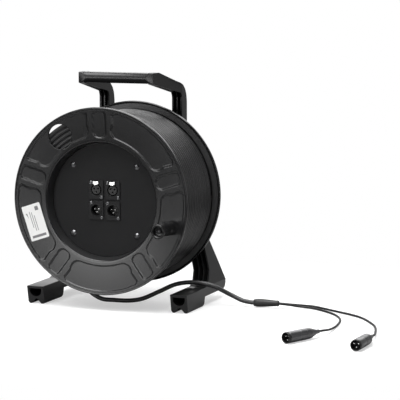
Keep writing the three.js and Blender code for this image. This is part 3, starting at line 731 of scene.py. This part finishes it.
def male_socket(number, x, z):
    base = [(0, 12), (9, 12), (9, 17.7), (0, 17.7)]
    base = socket_turned(f"male_base_{number}", base, INSULATOR, (x, z), 0.3, 40)
    settle(base, "drum", f"insert_male_{number}")
    for k, (dx, dz) in enumerate(PIN_SPOTS, 1):
        node = f"pin_{number}_{k}"
        pin = [(0, 2), (0.7, 2), (1.2, 3.2), (1.2, 15.7), (0, 15.7)]
        pin = socket_turned("bright_" + node, pin, BRIGHT, (x + dx, z + dz), 0.5, 24)
        settle(pin, "drum", node)
    shell = socket_shell(f"male_{number}", (x, z), False)
    settle(shell, "drum", f"socket_male_{number}")


def sockets():
    """Two female sockets above two male ones."""
    for number in (1, 2):
        female_socket(number, *SOCKET_SPOTS[number - 1])
    for number in (1, 2):
        male_socket(number, *SOCKET_SPOTS[number + 1])


def screws():
    for number, (x, z) in enumerate(corners(PANEL_SCREW, PANEL_SCREW), 1):
        head = screw(f"panel_screw_head_{number}", x, z, PANEL_Y, **PANEL_HEAD)
        settle(head, "drum", f"panel_screw_{number}")
    dx, dz = SOCKET_SCREW
    spots = [(x + side * dx, z - side * dz) for x, z in SOCKET_SPOTS for side in (-1, 1)]
    for number, (x, z) in enumerate(spots, 1):
        head = screw(f"socket_screw_head_{number}", x, z, PLATE_Y, **SOCKET_HEAD)
        settle(head, "drum", f"socket_screw_{number}")


# ---------------------------------------------------------------- crank knob and label


def crank():
    at = polar(KNOB["deg"], KNOB["at"])
    knob = turned("knob_skin", [
        (3.4, -5.4), (3.4, -40), (7.6, -40), (7.6, -46.6), (9.2, -48), (11.2, -48), (12.2, -46.8),
        (12.2, -44.2), (10.9, -39), (10, -30), (9.8, -22), (10.3, -14), (12, -8.6), (12, -6.6), (11, -5.4),
    ], KNOB_PLASTIC, at, 1.6, 72)
    settle(knob, "crank", "crank_knob")
    bolt_y = -40.4  # seat of the bolt's head, in the knob's end
    shank = [(0, bolt_y), (2.9, bolt_y), (2.9, 3.2), (0, 3.2)]
    shank = turned("bolt_shank", shank, STEEL, at, 0.2, 24, False)
    head = screw("bolt_head", *at, bolt_y, **BOLT_HEAD)
    settle(join("crank_bolt_skin", [head, shank]), "drum", "crank_bolt")


PRINT_BARS = (  # centre (outward, along), half width and half length of each plain bar
    ((11.4, -8.5), 1.5, 8.5), ((11.4, 6.5), 1.5, 5), ((5.6, -5), 0.55, 14), ((2.2, -1), 0.55, 16),
    ((-1.2, 2), 0.55, 13), ((0, 23.6), 12.6, 2.1), ((-8.6, -21.5), 3.2, 3.4),
)


def on_dish(outline, centre, lift, rings=7):
    """A film with this (outward, along) outline, lying on the floor of the label's lobe."""
    cos, sin = polar(LABEL["deg"], 1)
    rows = []
    for share in np.linspace(1, 0, rings):
        for across, length in outline:
            x0 = LABEL["at"] + centre[0] + (across - centre[0]) * share
            z0 = centre[1] + (length - centre[1]) * share
            x, z = x0 * cos - z0 * sin, x0 * sin + z0 * cos
            rows.append((x, face_at(math.hypot(x, z)) + EMBOSS - lift, z))
    return rows, grid_faces(rings, len(outline), False, True)


def label():
    film_lift, ink_lift = 0.2, 0.24
    edge = box_outline(LABEL["across"] / 2, LABEL["along"] / 2, 2)
    film = piece("film", *on_dish(edge, (0, 0), film_lift), LABEL_FILM, crease=60)
    bars = []
    for k, (at, wide, long) in enumerate(PRINT_BARS):
        bar = on_dish(box_outline(wide, long, 0.4, at, 2), at, ink_lift, 2)
        bars.append(piece(f"bar_{k}", *bar, LABEL_INK, crease=60))
    return join("label_film", [film, *bars])


# ---------------------------------------------------------------- tail on the floor


def splitter():
    return laid("splitter_body", [
        (0, 0), (4.4, 0), (5.8, 0.8), (6.6, 5), (6.8, 11), (6.2, 22), (5, 36), (4.7, 40), (4.9, 41),
        (4.6, 43.4), (0, 43.6),
    ], SPLIT, INSULATOR, 1.2, 48, False)


def plug_shell(number, line):
    """The metal sleeve with a groove, and the dark ring round its mouth."""
    sleeve = laid(f"plug_shell_body_{number}", [
        (7.6, 31.4), (8.5, 31.4), (PLUG_R, 32.4), (PLUG_R, 45), (8.45, 45.6), (8.45, 47), (PLUG_R, 47.6),
        (PLUG_R, 69.4), (8.5, 69.9), (7.6, 69.9),
    ], line, PLUG_METAL, 0.35)
    mouth = laid(f"plug_mouth_{number}", [
        (7.3, 60), (7.55, 60), (7.55, 70.1), (8.7, 70.1), (PLUG_R, 71), (PLUG_R, 73.8), (8.3, 74.8),
        (7.7, 74.8), (7.3, 74),
    ], line, INSULATOR, 0.3)
    return join(f"plug_shell_skin_{number}", [sleeve, mouth])


def plug_boot(number, line):
    """The ribbed cone over the lead's end."""
    ribs = [(4.3 + 0.75 * k, y + 2.3 * k) for k in range(5) for y in (8.4, 9.9)]
    return laid(f"plug_boot_skin_{number}", [
        (2.1, 0), (3.2, 0), (3.6, 6), *ribs, (8.2, 20.6), (8.6, 24), (8.6, 31.1), (2.1, 31.1),
    ], line, PLUG_METAL, 0.5)


def plug_insert(number, line):
    """A disk with three pins."""
    disk = [(0, 40), (7.3, 40), (7.3, 58), (0, 58)]
    disk = laid(f"plug_disk_{number}", disk, line, INSULATOR, 0.3, 40, False)
    pins = []
    for k, (x, z) in enumerate(PIN_SPOTS):
        pts, faces = lathe([(0, 57), (1.2, 57), (1.2, 69.6), (0.8, 70.8), (0, 71)], 20, False)
        pts = along(pts + np.array([x, 0, z]), line)
        pins.append(piece(f"plug_pin_{number}_{k}", pts, faces, BRIGHT, FLOOR))
    return join(f"plug_insert_skin_{number}", [disk, *pins])


def tail():
    settle(tube("tail_jacket", TAIL, CABLE_R, JACKET), "stand", "tail_cable")
    settle(splitter(), "stand", "y_splitter")
    for number, lead in enumerate((LEAD_1, LEAD_2), 1):
        jacket = tube(f"lead_jacket_{number}", lead, LEAD_R, LEAD_JACKET, 14)
        settle(jacket, "stand", f"lead_{number}")
    for number, line in enumerate(PLUGS, 1):
        settle(plug_shell(number, line), "stand", f"plug_{number}_shell")
        settle(plug_boot(number, line), "stand", f"plug_{number}_boot")
        settle(plug_insert(number, line), "stand", f"plug_{number}_insert")


# ---------------------------------------------------------------- carried-over CAD nodes

KEPT = {
    "axle": STEEL, "axle_nut": STEEL, "retaining_washer": STEEL, "retaining_bolt": STEEL, "brake_pad": LINING,
    "drum_core": DRUM_PLASTIC, "bush_front": BRONZE, "bush_rear": BRONZE, "cable_gland": INSULATOR,
    "inner_lead": JACKET,
}


def finish_kept_nodes():
    for node, material in KEPT.items():
        mesh = frame["nodes"][node].data
        mesh.materials.clear()
        mesh.materials.append(material)


# ---------------------------------------------------------------- stage


def for_camera(tree, otherwise, seen):
    """One value for the camera's own rays, and another for all the rest."""
    rays = tree.nodes.new("ShaderNodeLightPath")
    return ramp(tree, rays.outputs["Is Camera Ray"], otherwise, seen, 0, 1)


def mixed(tree, share, first, second):
    """A shader that goes from the first to the second as share goes from 0 to 1."""
    mix = tree.nodes.new("ShaderNodeMixShader")
    for source, socket in zip((share, first.outputs[0], second.outputs[0]), mix.inputs):
        tree.links.new(source, socket)
    return mix.outputs[0]


def floor_paper():
    """Pale paper that dissolves towards its rim. It reflects less than it shows, and glows to the camera."""
    mat = surface("pale_paper", (0.86, 0.86, 0.86), 0.8, grain=60, bump=0.02, mottle=0.01)
    tree = mat.node_tree
    paper = tree.nodes["Principled BSDF"]
    tree.links.new(for_camera(tree, FLOOR_BOUNCE, FLOOR_SEEN), paper.inputs["Base Color"])
    paper.inputs["Emission Color"].default_value = (1, 1, 1, 1)
    tree.links.new(for_camera(tree, 0.0, FLOOR_GLOW), paper.inputs["Emission Strength"])
    coord = tree.nodes.new("ShaderNodeTexCoord")
    length = tree.nodes.new("ShaderNodeVectorMath")
    length.operation = "LENGTH"
    tree.links.new(coord.outputs["Object"], length.inputs[0])
    fade = ramp(tree, length.outputs["Value"], 0.0, 1.0, *FLOOR_FADE)
    clear = tree.nodes.new("ShaderNodeBsdfTransparent")
    tree.links.new(mixed(tree, fade, paper, clear), tree.nodes["Material Output"].inputs["Surface"])
    return mat


def pale_floor():
    """A pale round floor, just under the object's feet."""
    steps = 96
    rim = [(x, z, 0) for x, z in circle(FLOOR_R, steps)]
    wedges = [(0, 1 + k, 1 + (k + 1) % steps) for k in range(steps)]
    sheet = piece("pale_floor", [(0, 0, 0), *rim], wedges, floor_paper(), np.zeros(3), 60)
    sheet.location.z = -0.0002


def backdrop():
    """White where the camera looks at it, and a dim room where it lights the object."""
    world = bpy.data.worlds.new("studio")
    world.use_nodes = True
    tree = world.node_tree
    room = tree.nodes["Background"]
    room.inputs["Color"].default_value = (1, 1, 1, 1)
    toward = tree.nodes.new("ShaderNodeTexCoord")
    split = tree.nodes.new("ShaderNodeSeparateXYZ")
    tree.links.new(toward.outputs["Generated"], split.inputs[0])
    tree.links.new(ramp(tree, split.outputs["Y"], ROOM_FRONT, ROOM_BACK, 0.0, 0.9), room.inputs["Strength"])
    paper = tree.nodes.new("ShaderNodeBackground")
    paper.inputs["Color"].default_value = (1, 1, 1, 1)
    tree.links.new(mixed(tree, for_camera(tree, 0.0, 1.0), room, paper),
                   tree.nodes["World Output"].inputs["Surface"])
    bpy.context.scene.world = world


def direction(azimuth, elevation):
    """Azimuth 0 is in front of the drum and 90 is to its right."""
    a, e = math.radians(azimuth), math.radians(elevation)
    return Vector((math.sin(a) * math.cos(e), -math.cos(a) * math.cos(e), math.sin(e)))


def area_light(name, azimuth, elevation, distance, width, height, power):
    """A softbox aimed at the drum."""
    away = direction(azimuth, elevation)
    data = bpy.data.lights.new(name, "AREA")
    data.shape, data.size, data.size_y, data.energy = "RECTANGLE", width, height, power
    lamp = bpy.data.objects.new(name, data)
    lamp.location = Vector(DRUM) + away * distance
    lamp.rotation_euler = away.to_track_quat("Z", "Y").to_euler()
    bpy.context.scene.collection.objects.link(lamp)


def camera():
    back = direction(CAMERA["azimuth"], CAMERA["elevation"])
    data = bpy.data.cameras.new("camera")
    data.lens, data.sensor_width, data.clip_end = CAMERA["lens"], 36, 60
    obj = bpy.data.objects.new("camera", data)
    look = back.to_track_quat("Z", "Y") @ Quaternion((0, 0, 1), math.radians(CAMERA["roll"]))
    obj.rotation_euler = look.to_euler()
    obj.location = Vector(FLOOR) + Vector(TARGET) * MM + back * CAMERA["distance"]
    bpy.context.scene.collection.objects.link(obj)
    bpy.context.scene.camera = obj


# ---------------------------------------------------------------- build

settle(front_flange(), "drum", "front_flange")
settle(rear_flange(), "drum", "rear_flange")
settle(wound_cable(), "drum", "wound_cable")
settle(connector_panel(), "drum", "connector_panel")
sockets()
screws()
crank()
settle(label(), "drum", "label")
settle(softened("stand_frame", 1.3, STAND_PLASTIC), "stand", "stand_frame")
settle(softened("brake_knob", 1.0, STAND_PLASTIC), "brake_dial", "brake_knob")
tail()
finish_kept_nodes()
pale_floor()
backdrop()
for softbox in SOFTBOXES:
    area_light(*softbox)
camera()
bpy.context.scene.view_settings.view_transform = "Standard"
